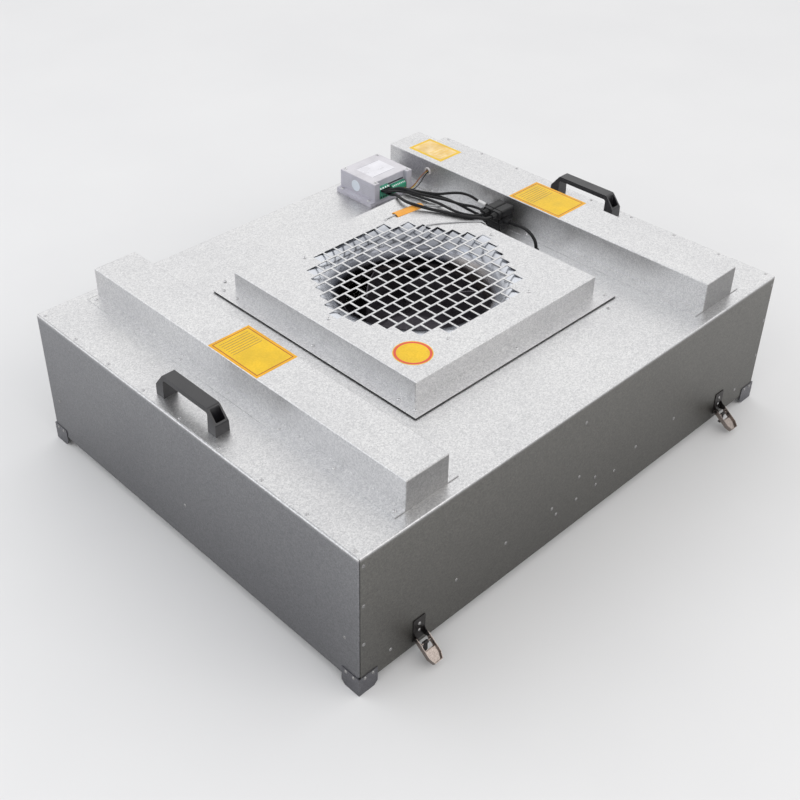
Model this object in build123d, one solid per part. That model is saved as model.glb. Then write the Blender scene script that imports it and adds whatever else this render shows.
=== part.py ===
"""Fan filter unit: a sheet-metal blower box with a recessed panel filter, for a clean-room ceiling.

Frame: millimetres, +Z up, origin on the floor below the middle of the box. The long side of the
box runs along X. The corner brackets reach below the box and carry it on the floor.
"""
from build123d import *
import math
import os

os.makedirs("parts", exist_ok=True)

# ---------------------------------------------------------------- driving dimensions (mm)
# Housing sheets
body_width = 1175.0          # over the side panels, along X
body_depth = 924.0           # over the front and back walls, along Y
body_height = 288.0          # box edge to top sheet
foot_drop = 22.0             # corner brackets below the box edge
sheet = 1.2                  # gauge of the housing sheets
sheet_bend = 2.4             # outer bend radius
cover_inset = 3.5            # cover edge to the side face, so that the side bend shows
side_flange = 24.0           # flange of a side panel under the cover
seat_gap = 0.05              # play between sheets that are riveted together

# Ridge covers, one each side
ridge_offset = 412.0         # middle of a ridge from the middle of the box
ridge_width = 97.0
ridge_length = 872.0
ridge_rise = 62.5
ridge_flange = 24.5

# Inlet panel with its punched grille, and the foam under it
inlet_opening = 470.0        # square hole in the top cover
inlet_corner_radius = 20.0
inlet_size = 507.0           # raised part, square
inlet_flange = 32.0
inlet_top = 47.0             # top of the panel above the cover
gasket_thickness = 3.0
gasket_inset = 1.5           # foam edge behind the flange edge
gasket_width = 24.0
hole_pitch = 29.3
hole_side = 25.2
grille_radius = 218.5        # only whole holes inside this circle are punched

# Inlet ring (bellmouth)
ring_sheet = 1.5
ring_outer_radius = 240.0
ring_mouth_radius = 222.0
ring_throat_radius = 147.0
ring_curve_depth = 60.0
ring_depth = 68.0
ring_screw_radius = 229.2

# Impeller and motor
impeller_radius = 196.0
impeller_sheet = 2.0
impeller_mouth_gap = 4.0     # running gap between ring and shroud
impeller_overlap = 6.0       # shroud lip above the end of the ring
impeller_shroud_drop = 30.0  # shroud height from lip to rim
impeller_height = 104.0      # lip to underside of the back plate
blade_count = 7
blade_inner_radius = 112.0
blade_sweep = 62.0           # degrees from inner to outer edge
blade_curve_radius = 128.0
blade_inlet_drop = 24.0      # inner blade corner below the end of the throat
rotor_radius = 68.0
rotor_rise = 26.0            # rotor can above the back plate
rotor_skirt = 34.0           # rotor can below the back plate
rotor_wall = 3.0
rotor_gap = 4.0
motor_flange_radius = 84.0
motor_flange_thickness = 6.0
shaft_radius = 8.0
shaft_play = 0.05
hub_radius = 17.0

# Fan deck and filter
deck_height = 96.0           # top of the deck above the box edge
deck_flange = 20.0
deck_window = 104.0
deck_window_pitch = 130.0
deck_solid_radius = 170.0
filter_height = 69.0
filter_clearance = 2.0
rail_thickness = 18.0
rail_wall = 2.5
media_height = 50.0
pleat_count = 45
pleat_depth = 9.0
guard_thickness = 1.5
guard_bar = 6.0
guard_columns = 11
guard_rows = 9
clip_edge = 72.5              # middle of a clip from the side face
clip_width = 30.0
clip_thickness = 1.5
clip_reach = 20.0
clip_leg = 30.0

# Corner brackets
bracket_leg = 41.0
bracket_height = 40.0
bracket_thickness = 1.5
bracket_chamfer = 8.0
bracket_rivets = (12.2, 30.3)
bracket_rivet_drop = 5.5     # rivet row below the top edge of the bracket

# Bridge handles
handle_share = 0.6566         # of the way from the ridge flange to the edge of the cover
handle_length = 172.0
handle_width = 30.0
handle_top_width = 26.0
handle_height = 50.0
handle_shoulder = 22.5
handle_top_length = 130.0
handle_leg = 22.0
handle_bar = 10.0
handle_corner_radius = 5.0
pocket_width = 20.0
pocket_depth = 16.0
pocket_floor = 14.0
pocket_corner = 2.0

# Toggle latches
latch_edge = 138.0            # middle of a latch from the side face
latch_pivot_height = 20.0    # above the box edge
latch_pivot_reach = 7.0      # from the wall
latch_droop = 37.0           # lever below the horizontal when open, degrees
latch_plate_width = 29.0
latch_plate_top = 41.0       # above the pivot
latch_plate_bottom = 9.0     # below the pivot
latch_plate = 1.5
latch_rivets = (11.0, 27.0)  # above the pivot
ear_root_top = 14.0
ear_root_bottom = 8.0
ear_radius = 6.5
ear_gap = 0.3                # between ear and lever flange
ear_sheet = 1.2
lever_width = 28.0
lever_tip_width = 18.0
lever_length = 50.0
lever_height = 10.0
lever_sheet = 1.2
lever_chamfer_start = 38.0
lever_heel_web = 6.9         # the heel has no web as far as this, to clear the ears
lever_window = (6.0, 24.0)   # slot that the hook swings through, open to the heel
lever_window_margin = 1.0
lever_step_start = 25.5
lever_step_rise = 6.0        # thumb rest above the web
pin_radius = 2.0
pin_play = 0.05
pin_head_radius = 3.2
pin_head = 0.9
hook_pin_reach = 12.0        # along the lever from its pivot
hook_width = 10.0
hook_sheet = 1.6
hook_length = 21.0
hook_lip = 1.6               # gap behind the upturned lip, which clears the base when shut
hook_eye_radius = 3.4

# Speed controller
box_x = 261.5
box_y = 378.5
box_width = 117.0
box_depth = 113.0
box_height = 52.0
box_split = 35.0             # lid seam above the cover
box_wall = 2.5
box_gap = 5.0                # dark wire slot under the lid apron
box_corner = 3.0
box_chamfer = 1.2
box_foot_width = 143.0
box_foot_depth = 115.0
box_foot_height = 9.5
box_recess_width = 87.0
box_recess_depth = 10.0
box_slot_width = 45.0
box_slot_height = 3.0
box_foot_screw = (65.0, 43.0)
box_lid_screw = (50.5, 49.0)
terminal_wide = (-41.5, -11.5)
terminal_wide_height = 27.0
terminal_small = (-10.5, -4.5)
terminal_small_height = 12.0
terminal_long = (-1.5, 41.0)
terminal_long_height = 20.0
terminal_slope = 5.0

# Wire outlets
grommet_y = 312.0
grommet_height = 35.0
grommet_radius = 9.5
grommet_bore = 5.5
grommet_hole = 7.0
grommet_lip = 2.2
gland_share = 0.35            # of the way from the inlet flange to the ridge flange
gland_y = -64.0
gland_radius = 8.0
gland_height = 10.0
gland_thread_radius = 6.0
gland_thread_length = 10.0
gland_play = 0.1

# Cable connectors
plug_width = 22.0
plug_height = 18.0
plug_length = 48.0
plug_corner = 4.0
plug_boot_length = 12.0
plug_boot_radius = 5.5
plug_collar = 8.0
plug_groove = 1.2
coupler_length = 28.0        # each half of the fan cable coupler
power_cable = 7.0
signal_cable = 6.0
core_wire = 2.4
thin_wire = 2.6
tag_length = 74.0
tag_width = 22.0
tag_thickness = 0.8
tag_play = 0.5
tag_middle = (181.0, 195.0)
tag_turn = -5.5
plug_entry_y = 110.0         # cable entry of the plugs lying along Y
side_plug_x = 329.0
loop_plug_x = 349.0
coupler_x = 325.0
cross_entry_x = 290.0        # cable entry of the plugs lying across
supply_plug_y = 52.0
control_plug_y = 74.5

# Screws and rivets
screw_radius = 3.8
screw_height = 2.2
inlet_side_screw = 228.0
earth_screw_y = 110.0
cover_screw_x = (-243.5, 241.0)   # one behind the inlet and one in front of it
cover_screw_gap = 14.5            # from the inlet flange
rivet_radius = 3.6
rivet_height = 1.4

# ---------------------------------------------------------------- levels and faces
box_edge = foot_drop
top = foot_drop + body_height
wall_x = body_width / 2
wall_y = body_depth / 2
inner_x = wall_x - sheet
inner_y = wall_y - sheet
deck_top = box_edge + deck_height
panel_base = top + gasket_thickness
panel_top = top + inlet_top
pivot_height = box_edge + latch_pivot_height
inlet_edge = inlet_size / 2 + inlet_flange
ridge_near_edge = ridge_offset - ridge_width / 2 - ridge_flange
ridge_far_edge = ridge_offset + ridge_width / 2 + ridge_flange
gland_x = inlet_edge + gland_share * (ridge_near_edge - inlet_edge)
handle_offset = ridge_far_edge + handle_share * (wall_x - cover_inset - ridge_far_edge)
clip_offset = wall_x - clip_edge
latch_offset = wall_x - latch_edge


# ---------------------------------------------------------------- helpers
def block(x_range, y_range, z_range):
    """A plain block between two faces along each axis."""
    size = [high - low for low, high in (x_range, y_range, z_range)]
    middle = [(high + low) / 2 for low, high in (x_range, y_range, z_range)]
    return Pos(*middle) * Box(*size)


def plate(outline, base, thickness):
    """A flat sketch raised from the level base."""
    return Pos(0, 0, base) * extrude(outline, amount=thickness)


def across(points, width):
    """A solid with the given Y-Z profile, centred across X."""
    profile = make_face(Polyline(*[(0, y, z) for y, z in points], close=True))
    return Pos(-width / 2, 0, 0) * extrude(profile, amount=width, dir=(1, 0, 0))


def turned(points):
    """A ring or disc turned about the vertical axis from radius-height points."""
    profile = make_face(Polyline(*[(radius, 0, height) for radius, height in points], close=True))
    return revolve(profile, Axis.Z)


def raised_pan(size_x, size_y, rise, flange_x, flange_y):
    """A folded sheet cover: a hollow raised part on a flat flange, open below."""
    raised = block((-size_x / 2, size_x / 2), (-size_y / 2, size_y / 2), (0, rise))
    raised = fillet(raised.edges().filter_by(Axis.Z) + raised.faces().sort_by(Axis.Z)[-1].edges(),
                    sheet_bend)
    hollow = offset(raised, -sheet, openings=raised.faces().sort_by(Axis.Z)[0])
    rim = Rectangle(size_x + 2 * flange_x, size_y + 2 * flange_y)
    rim -= Rectangle(size_x - 2 * sheet, size_y - 2 * sheet)
    return hollow + extrude(rim, amount=sheet)


def cable(points, diameter):
    """A round cable: straight runs joined by tangent bends."""
    corners = [Vector(*point) for point in points]
    bends = []
    for before, corner, after in zip(corners, corners[1:], corners[2:]):
        half_turn = math.radians((corner - before).get_angle(after - corner)) / 2
        shorter = min((corner - before).length, (after - corner).length)
        bends.append(0.45 * shorter / math.tan(half_turn))
    path = FilletPolyline(*corners, radius=bends)
    start = Plane(origin=corners[0], z_dir=corners[1] - corners[0])
    return sweep(start * Circle(diameter / 2), path=path)


def screw_head():
    """A low round head standing on its seat."""
    profile = [(0, 0), (screw_radius, 0), (screw_radius * 0.9, screw_height * 0.55),
               (screw_radius * 0.55, screw_height), (0, screw_height)]
    return turned(profile)


def rivet_head():
    """The domed head of a blind rivet standing on its sheet."""
    profile = [(0, 0), (rivet_radius, 0), (rivet_radius * 0.6, rivet_height), (0, rivet_height)]
    return turned(profile)


def corners_of(x, y):
    """Four mirrored places."""
    return [(-x, -y), (x, -y), (x, y), (-x, y)]


def save(node, *solids):
    """Write one node, made of one solid or of a group of separate ones."""
    shape = solids[0] if len(solids) == 1 else Compound(children=list(solids))
    export_step(shape, f"parts/{node}.step")


# ---------------------------------------------------------------- housing sheets
def top_cover():
    """One sheet folded over the top, the front and the back of the box."""
    depth = body_depth / 2
    outer = Rectangle(body_depth, body_height, align=(Align.CENTER, Align.MAX))
    outer = fillet(outer.vertices().group_by(Axis.Y)[-1], sheet_bend)
    inner = Pos(0, -sheet) * Rectangle(2 * (depth - sheet), body_height,
                                       align=(Align.CENTER, Align.MAX))
    inner = fillet(inner.vertices().group_by(Axis.Y)[-1], sheet_bend - sheet)
    length = body_width - 2 * cover_inset
    folded = extrude(Plane.YZ * (outer - inner), amount=length / 2, both=True)
    folded = Pos(0, 0, top) * folded
    opening = RectangleRounded(inlet_opening, inlet_opening, inlet_corner_radius)
    folded -= plate(opening, top - 2 * sheet, 3 * sheet)
    gland_hole = Pos(gland_x, gland_y) * Circle(gland_thread_radius + gland_play)
    return folded - plate(gland_hole, top - 2 * sheet, 3 * sheet)


def side_panel():
    """The right side panel: a tray with flanges under the cover and behind the walls."""
    roof = top - sheet - seat_gap
    end = inner_y - seat_gap
    tray = block((wall_x - side_flange, wall_x), (-end, end), (box_edge, roof))
    bends = tray.edges().filter_by(Axis.Z).group_by(Axis.X)[-1]
    bends += tray.edges().filter_by(Axis.Y).group_by(Axis.Z)[-1].sort_by(Axis.X)[-1:]
    bends += tray.edges().filter_by(Axis.X).group_by(Axis.Z)[-1]
    tray = fillet(bends, sheet_bend)
    openings = [tray.faces().sort_by(Axis.X)[0], tray.faces().sort_by(Axis.Z)[0]]
    return offset(tray, -sheet, openings=openings)


def ridge_cover(with_grommet_hole):
    """A long folded cover over a stiffening channel, seated on the top cover."""
    cover = raised_pan(ridge_width, ridge_length, ridge_rise, ridge_flange, 0)
    cover = Pos(ridge_offset, 0, top) * cover
    if with_grommet_hole:
        hole = Cylinder(grommet_hole, ridge_width, rotation=(0, 90, 0))
        cover -= Pos(ridge_offset - ridge_width / 2, grommet_y, top + grommet_height) * hole
    return cover


def grille_places():
    """Centres of the square holes: alternate rows shift by half a pitch, inside a circle."""
    places = []
    rows = int(grille_radius // hole_pitch) + 1
    for row in range(-rows, rows + 1):
        for step in range(-rows - 1, rows + 2):
            x = (step + (row % 2) / 2) * hole_pitch
            y = row * hole_pitch
            reach = math.hypot(abs(x) + hole_side / 2, abs(y) + hole_side / 2)
            if reach < grille_radius:
                places.append((x, y))
    return places


def inlet_panel():
    """The raised inlet cover with its punched grille of square holes in brick pattern."""
    pan = raised_pan(inlet_size, inlet_size, panel_top - panel_base, inlet_flange, inlet_flange)
    pan = Pos(0, 0, panel_base) * pan
    holes = Sketch() + [Pos(x, y) * Rectangle(hole_side, hole_side) for x, y in grille_places()]
    return pan - plate(holes, panel_top - 2 * sheet, 3 * sheet)


def inlet_gasket():
    """A foam strip under the flange of the inlet panel."""
    outer = inlet_size + 2 * (inlet_flange - gasket_inset)
    ring = Rectangle(outer, outer)
    ring -= Rectangle(outer - 2 * gasket_width, outer - 2 * gasket_width)
    return plate(ring, top, gasket_thickness)


# ---------------------------------------------------------------- air path
def ring_curve(inset):
    """Quarter ellipse of the bellmouth, from its throat up to its flange."""
    centre_height = panel_top - sheet - ring_curve_depth
    across_curve = ring_mouth_radius - ring_throat_radius - inset
    drop = ring_curve_depth - inset
    return EllipticalCenterArc((ring_mouth_radius, centre_height), across_curve, drop,
                               start_angle=90, arc_size=90)


def inlet_ring():
    """A spun bellmouth hung under the grille by its flange."""
    roof = panel_top - sheet
    tail = roof - ring_depth
    above = ring_curve(0)
    below = ring_curve(ring_sheet)
    outline = Curve() + [
        above,
        below,
        Polyline((ring_mouth_radius, roof), (ring_outer_radius, roof),
                 (ring_outer_radius, roof - ring_sheet), (ring_mouth_radius, roof - ring_sheet)),
        Polyline(above @ 1, (ring_throat_radius, tail),
                 (ring_throat_radius + ring_sheet, tail), below @ 1),
    ]
    return revolve(Plane.XZ * make_face(outline), Axis.Z)


def impeller_levels():
    """Heights of the shroud lip, the shroud rim and the back plate of the impeller."""
    lip = panel_top - sheet - ring_depth + impeller_overlap
    return lip, lip - impeller_shroud_drop, lip - impeller_height


def impeller():
    """A backward-curved centrifugal wheel with its rotor can and hub."""
    lip, rim, back = impeller_levels()
    mouth = ring_throat_radius + ring_sheet + impeller_mouth_gap
    knee = (mouth + 12.0, rim + 9.0)
    throat_line = Line((mouth, lip), (mouth, lip - impeller_overlap))
    curve = Spline(throat_line @ 1, knee, (impeller_radius, rim),
                   tangents=((0, -1), (1, -0.1)))
    shroud_line = Plane.XZ * (Curve() + [throat_line, curve])
    inlet_edge = lip - impeller_overlap - blade_inlet_drop
    under = make_face(Curve() + [curve, Polyline((impeller_radius, rim), (impeller_radius, back),
                                                 (0, back), (0, inlet_edge),
                                                 (blade_inner_radius, inlet_edge), curve @ 0)])
    under = revolve(Plane.XZ * under, Axis.Z)
    wall = trace(Curve() + [throat_line, curve], line_width=impeller_sheet)
    shroud = revolve(Plane.XZ * wall, Axis.Z)

    inner_edge = (blade_inner_radius, 0)
    turn = math.radians(blade_sweep)
    outer = impeller_radius - impeller_sheet
    outer_edge = (outer * math.cos(turn), -outer * math.sin(turn))
    blade_line = RadiusArc(inner_edge, outer_edge, blade_curve_radius)
    blade = plate(trace(blade_line, line_width=impeller_sheet), back, lip - back) & under
    blades = [Rot(0, 0, 360 / blade_count * step) * blade for step in range(blade_count)]

    can_top = back + rotor_rise
    disc = turned([(rotor_radius - rotor_wall, back), (impeller_radius, back),
                   (impeller_radius, back + impeller_sheet),
                   (rotor_radius - rotor_wall, back + impeller_sheet)])
    can = turned([(rotor_radius, back - rotor_skirt), (rotor_radius, can_top),
                  (hub_radius, can_top), (hub_radius, can_top + hub_radius / 2),
                  (shaft_radius + shaft_play, can_top + hub_radius / 2),
                  (shaft_radius + shaft_play, can_top - rotor_wall),
                  (rotor_radius - rotor_wall, can_top - rotor_wall),
                  (rotor_radius - rotor_wall, back - rotor_skirt)])
    wheel = disc + can + shroud
    for each in blades:
        wheel += each
    return wheel


def motor():
    """The fixed part of the motor: flange on the deck, core inside the rotor can, shaft."""
    can_top = impeller_levels()[2] + rotor_rise
    core_top = can_top - rotor_wall - rotor_gap
    core = rotor_radius - rotor_wall - rotor_gap
    core_base = impeller_levels()[2] - rotor_skirt + rotor_wall
    shaft_top = can_top + hub_radius / 2 + rotor_gap
    return turned([(0, deck_top), (motor_flange_radius, deck_top),
                   (motor_flange_radius, deck_top + motor_flange_thickness),
                   (core * 0.7, deck_top + motor_flange_thickness),
                   (core * 0.6, core_base), (core, core_base), (core, core_top),
                   (shaft_radius, core_top), (shaft_radius, shaft_top), (0, shaft_top)])


def fan_deck():
    """The inner floor that carries the motor, windowed so that air reaches the filter."""
    half_x = inner_x - seat_gap
    half_y = inner_y - seat_gap
    tray = block((-half_x, half_x), (-half_y, half_y), (deck_top - deck_flange, deck_top))
    tray = fillet(tray.faces().sort_by(Axis.Z)[-1].edges(), sheet_bend)
    tray = offset(tray, -sheet, openings=tray.faces().sort_by(Axis.Z)[0])
    notch = side_flange + sheet_bend
    for x, y in corners_of(half_x - notch / 2, half_y - notch / 2):
        tray -= Pos(x, y, deck_top) * Box(notch, notch, 3 * deck_flange)
    columns = int((half_x - deck_window / 2 - sheet_bend) // deck_window_pitch)
    rows = int((half_y - deck_window / 2 - sheet_bend) // deck_window_pitch)
    windows = Sketch()
    for column in range(-columns, columns + 1):
        for row in range(-rows, rows + 1):
            x = column * deck_window_pitch
            y = row * deck_window_pitch
            if math.hypot(x, y) > deck_solid_radius:
                windows += Pos(x, y) * Rectangle(deck_window, deck_window)
    return tray - plate(windows, deck_top - 2 * sheet, 3 * sheet)


# ---------------------------------------------------------------- filter
filter_top = deck_top - sheet
filter_base = filter_top - filter_height
filter_x = inner_x - seat_gap - sheet - filter_clearance
filter_y = inner_y - seat_gap - sheet - filter_clearance
media_base = filter_top - rail_wall - media_height
guard_base = filter_base + rail_wall


def filter_rail(half_length, half_width):
    """One side of the filter frame, along X, mitred at both ends."""
    outer = -half_width
    lip = outer + rail_thickness
    web = outer + rail_wall
    section = [(outer, filter_base), (lip, filter_base), (lip, guard_base), (web, guard_base),
               (web, media_base - rail_wall), (lip, media_base - rail_wall), (lip, media_base),
               (web, media_base), (web, filter_top - rail_wall), (lip, filter_top - rail_wall),
               (lip, filter_top), (outer, filter_top)]
    rail = across(section, 2 * half_length)
    mitre = Polyline((-half_length, outer), (half_length, outer), (half_length - rail_thickness, lip),
                     (rail_thickness - half_length, lip), close=True)
    return rail & plate(make_face(mitre), filter_base, filter_height)


def filter_media():
    """The folded filter medium, held in the grooves of the rails."""
    half_x = filter_x - rail_wall - seat_gap
    half_y = filter_y - rail_wall - seat_gap
    fold = 2 * half_x / pleat_count
    top_line = [(-half_x + fold * (step + shift), filter_top - rail_wall - drop)
                for step in range(pleat_count) for shift, drop in ((0, 0), (0.5, pleat_depth))]
    top_line.append((half_x, filter_top - rail_wall))
    low_line = [(x, 2 * media_base + media_height - z) for x, z in reversed(top_line)]
    profile = make_face(Polyline(*[(x, 0, z) for x, z in top_line + low_line], close=True))
    pleated = extrude(profile, amount=half_y - rail_thickness, both=True, dir=(0, 1, 0))
    ends = block((-half_x, half_x), (-half_y, half_y), (media_base, media_base + media_height))
    middle = block((-half_x + rail_thickness, half_x - rail_thickness),
                   (-half_y + rail_thickness, half_y - rail_thickness),
                   (media_base, media_base + media_height))
    return (ends - middle) + (pleated & middle)


def filter_guard():
    """A flat guard grid on the lower lips of the filter frame."""
    half_x = filter_x - rail_wall - seat_gap
    half_y = filter_y - rail_wall - seat_gap
    clear_x = 2 * (filter_x - rail_thickness)
    clear_y = 2 * (filter_y - rail_thickness)
    pitch_x = (clear_x + guard_bar) / guard_columns
    pitch_y = (clear_y + guard_bar) / guard_rows
    grid = Rectangle(2 * half_x, 2 * half_y)
    grid -= GridLocations(pitch_x, pitch_y, guard_columns, guard_rows) * Rectangle(
        pitch_x - guard_bar, pitch_y - guard_bar)
    return plate(grid, guard_base, guard_thickness)


def filter_clip():
    """A bent clip on the front wall with its foot under the filter frame."""
    wall = -inner_y
    foot = filter_base - clip_thickness
    return across([(wall, foot), (wall + clip_reach, foot), (wall + clip_reach, filter_base),
                   (wall + clip_thickness, filter_base), (wall + clip_thickness, foot + clip_leg),
                   (wall, foot + clip_leg)], clip_width)


# ---------------------------------------------------------------- fittings on the housing
def corner_bracket():
    """The foot bracket of the corner at +X +Y: two legs outside the walls."""
    legs = block((wall_x - bracket_leg, wall_x + bracket_thickness),
                 (wall_y - bracket_leg, wall_y + bracket_thickness), (0, bracket_height))
    legs -= block((0, wall_x), (0, wall_y), (-1, bracket_height + 1))
    lower = [legs.edges().filter_by(Axis.Y).group_by(Axis.Z)[0].sort_by(Axis.X)[0],
             legs.edges().filter_by(Axis.X).group_by(Axis.Z)[0].sort_by(Axis.Y)[0]]
    return chamfer(lower, bracket_chamfer)


def bracket_rivets_at(x_side, y_side):
    """Rivets of one corner bracket, two through each leg."""
    heads = []
    height = bracket_height - bracket_rivet_drop
    for reach in bracket_rivets:
        along_x = Pos(x_side * (wall_x - reach), y_side * (wall_y + bracket_thickness), height)
        along_y = Pos(x_side * (wall_x + bracket_thickness), y_side * (wall_y - reach), height)
        heads.append(along_x * Rot(-90 * y_side, 0, 0) * rivet_head())
        heads.append(along_y * Rot(0, 90 * x_side, 0) * rivet_head())
    return heads


def handle():
    """A moulded bridge handle across the box, standing at the origin."""
    half = handle_length / 2
    half_top = handle_top_length / 2
    side = Polyline((-half, 0), (half, 0), (half, handle_shoulder), (half_top, handle_height),
                    (-half_top, handle_height), (-half, handle_shoulder), close=True)
    side = make_face(side)
    side = fillet(side.vertices().group_by(Axis.Y)[-1], handle_corner_radius)
    side = fillet(side.vertices().sort_by_distance((-half, handle_shoulder))[:1]
                  + side.vertices().sort_by_distance((half, handle_shoulder))[:1],
                  handle_corner_radius)
    opening = Rectangle(handle_length - 2 * handle_leg, handle_height - handle_bar,
                        align=(Align.CENTER, Align.MIN))
    opening = fillet(opening.vertices().group_by(Axis.Y)[-1], handle_corner_radius)
    body = extrude(Plane.YZ * (side - opening), amount=handle_width / 2, both=True)
    section = Polyline((-handle_width / 2, 0), (handle_width / 2, 0),
                       (handle_width / 2, handle_shoulder / 2), (handle_top_width / 2, handle_height),
                       (-handle_top_width / 2, handle_height),
                       (-handle_width / 2, handle_shoulder / 2), close=True)
    body &= extrude(Plane.XZ * make_face(section), amount=half, both=True)
    wall = (handle_leg - pocket_depth) / 2
    for side_sign in (-1, 1):
        middle = side_sign * (half - wall - pocket_depth / 2)
        pocket = RectangleRounded(pocket_width, pocket_depth, pocket_corner)
        body -= Pos(0, middle) * plate(pocket, pocket_floor, handle_height)
    return body


def handle_screw_reach():
    """Distance of a handle screw from the middle of the handle."""
    return handle_length / 2 - handle_leg / 2


# ---------------------------------------------------------------- toggle latch
def lever_place(droop):
    """Frame of a front latch lever: X across, Y out along the lever, Z through its web."""
    return Pos(0, -latch_pivot_reach, 0) * Rot(droop, 0, 0) * Rot(0, 0, 180)


def latch_base():
    """Base plate and ears of a front latch, its pivot line on the X axis."""
    half = latch_plate_width / 2
    wall = latch_plate
    base = block((-half, half), (-wall, 0), (-latch_plate_bottom, latch_plate_top))
    base = fillet(base.edges().filter_by(Axis.Y).group_by(Axis.Z)[-1], 3.0)
    reach = latch_pivot_reach
    web = make_face(Polyline((0, -ear_root_bottom), (-reach, -ear_radius), (-reach, ear_radius),
                             (-wall, ear_root_top), (0, ear_root_top), close=True))
    profile = web + Pos(-reach, 0) * Circle(ear_radius)
    inner = lever_width / 2 - lever_sheet - ear_gap - ear_sheet
    ear = extrude(Plane.YZ * profile, amount=ear_sheet)
    base += Pos(inner, 0, 0) * ear
    base += Pos(-inner - ear_sheet, 0, 0) * ear
    stub = Pos(inner + ear_sheet / 2, -reach, 0) * Rot(0, 90, 0)
    stub_length = lever_width / 2 + ear_gap + pin_head - inner - ear_sheet / 2
    pin = turned([(0, 0), (pin_radius, 0), (pin_radius, stub_length - pin_head),
                  (pin_head_radius, stub_length - pin_head), (pin_head_radius, stub_length),
                  (0, stub_length)])
    base += stub * pin
    base += Rot(0, 0, 180) * Pos(0, 2 * reach, 0) * stub * pin
    return base


def latch_lever():
    """Pressed lever in its own frame: pivot line on X, open side up, thumb rest at the tip."""
    half = lever_width / 2
    tip = lever_tip_width / 2
    low = -lever_height / 2
    outline = make_face(Polyline((-half, 0), (half, 0), (half, lever_chamfer_start),
                                 (tip, lever_length), (-tip, lever_length),
                                 (-half, lever_chamfer_start), close=True))
    outline += Pos(0, low / 2) * Rectangle(lever_width, -low)
    tray = plate(outline, low, lever_height)
    heel = Plane.YZ * (Circle(lever_height / 2) + Rectangle(
        lever_length, lever_height, align=(Align.MIN, Align.CENTER)))
    tray &= extrude(heel, amount=half, both=True)
    inside = make_face(Polyline((-half, low - 1), (half, low - 1),
                                (half, lever_chamfer_start), (tip, lever_length), (-tip, lever_length),
                                (-half, lever_chamfer_start), close=True))
    inside = offset(inside, -lever_sheet, kind=Kind.INTERSECTION)
    inside += Pos(0, low) * Rectangle(lever_width - 2 * lever_sheet, 2 * lever_height)
    step = low + lever_step_rise
    heel_half = half - lever_sheet
    deep = inside & (Pos(0, lever_step_start / 2 - lever_height) * Rectangle(
        lever_width, lever_step_start + 2 * lever_height))
    shallow = inside & (Pos(0, lever_step_start + lever_length / 2) * Rectangle(
        lever_width, lever_length))
    tray -= plate(deep, low + lever_sheet, lever_height)
    tray -= plate(shallow, step, lever_height)
    under = inside & (Pos(0, lever_step_start + lever_sheet + lever_length / 2) * Rectangle(
        lever_width, lever_length))
    tray -= plate(under, low - 1, 1 + lever_step_rise - lever_sheet)
    tray -= block((-heel_half, heel_half), (-lever_height, lever_heel_web),
                  (low - 1, low + 2 * lever_sheet))
    window = heel_half - lever_window_margin
    tray -= block((-window, window), lever_window, (low - 1, low + 2 * lever_sheet))
    tray -= Cylinder(pin_radius + pin_play, 2 * lever_width, rotation=(0, 90, 0))
    pin = Cylinder(pin_radius, lever_width, rotation=(0, 90, 0))
    return tray + Pos(0, hook_pin_reach, 0) * pin


def latch_hook():
    """Flat hook hanging from its pin line on the X axis, lip turned towards the wall."""
    half = hook_sheet / 2
    shank = Polyline((-half, 0), (-half, -hook_length + hook_sheet),
                     (hook_lip, -hook_length + hook_sheet), (hook_lip, -hook_length + 2 * hook_sheet),
                     (hook_lip + hook_sheet, -hook_length + 2 * hook_sheet),
                     (hook_lip + hook_sheet, -hook_length), (-half - hook_sheet, -hook_length),
                     (-half - hook_sheet, 0), close=True)
    shank = Pos(hook_sheet, 0) * make_face(shank)
    profile = shank + Circle(hook_eye_radius)
    profile -= Circle(pin_radius + pin_play)
    return extrude(Plane.YZ * profile, amount=hook_width / 2, both=True)


def latch_places():
    """The four latches: front ones as drawn, back ones turned half a turn."""
    front = [Pos(x, -wall_y, pivot_height) for x in (-latch_offset, latch_offset)]
    back = [Rot(0, 0, 180) * place for place in front]
    return front + back


# ---------------------------------------------------------------- controller
def box_outline(width, depth):
    """Plan of the controller body, set back between its two front corner posts."""
    plan = Rectangle(width, depth)
    recess = Pos(0, -depth / 2 + box_recess_depth / 2) * Rectangle(box_recess_width, box_recess_depth)
    return plan - recess


def controller_base():
    """Foot flange and lower shell of the speed controller."""
    foot = RectangleRounded(box_foot_width, box_foot_depth, box_corner)
    shell = plate(foot, 0, box_foot_height) + plate(box_outline(box_width, box_depth), 0, box_split)
    cavity = Rectangle(box_width - 2 * box_wall,
                       box_depth - box_recess_depth - 2 * box_wall)
    shell -= Pos(0, box_recess_depth / 2) * plate(cavity, box_wall, box_split)
    wire_slot = Pos(0, -box_depth / 2 + box_recess_depth, box_split)
    shell -= wire_slot * Box(box_recess_width - 2 * box_wall, 4 * box_wall, 2 * box_gap)
    side_slot = Pos(-box_foot_width / 2, 0, box_slot_height)
    shell -= side_slot * Box(box_slot_height, box_slot_width, box_slot_height)
    return Pos(box_x, box_y, top) * shell


def controller_lid():
    """The lid of the controller, with raised corner bosses and a label field."""
    lid = plate(box_outline(box_width, box_depth), box_split, box_height - box_split)
    lid = chamfer(lid.faces().sort_by(Axis.Z)[-1].edges(), box_chamfer)
    cavity = Rectangle(box_width - 2 * box_wall,
                       box_depth - box_recess_depth - 2 * box_wall)
    depth = box_height - box_split - box_wall
    lid -= Pos(0, box_recess_depth / 2) * plate(cavity, box_split - box_wall, depth + box_wall)
    return Pos(box_x, box_y, top) * lid


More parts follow.
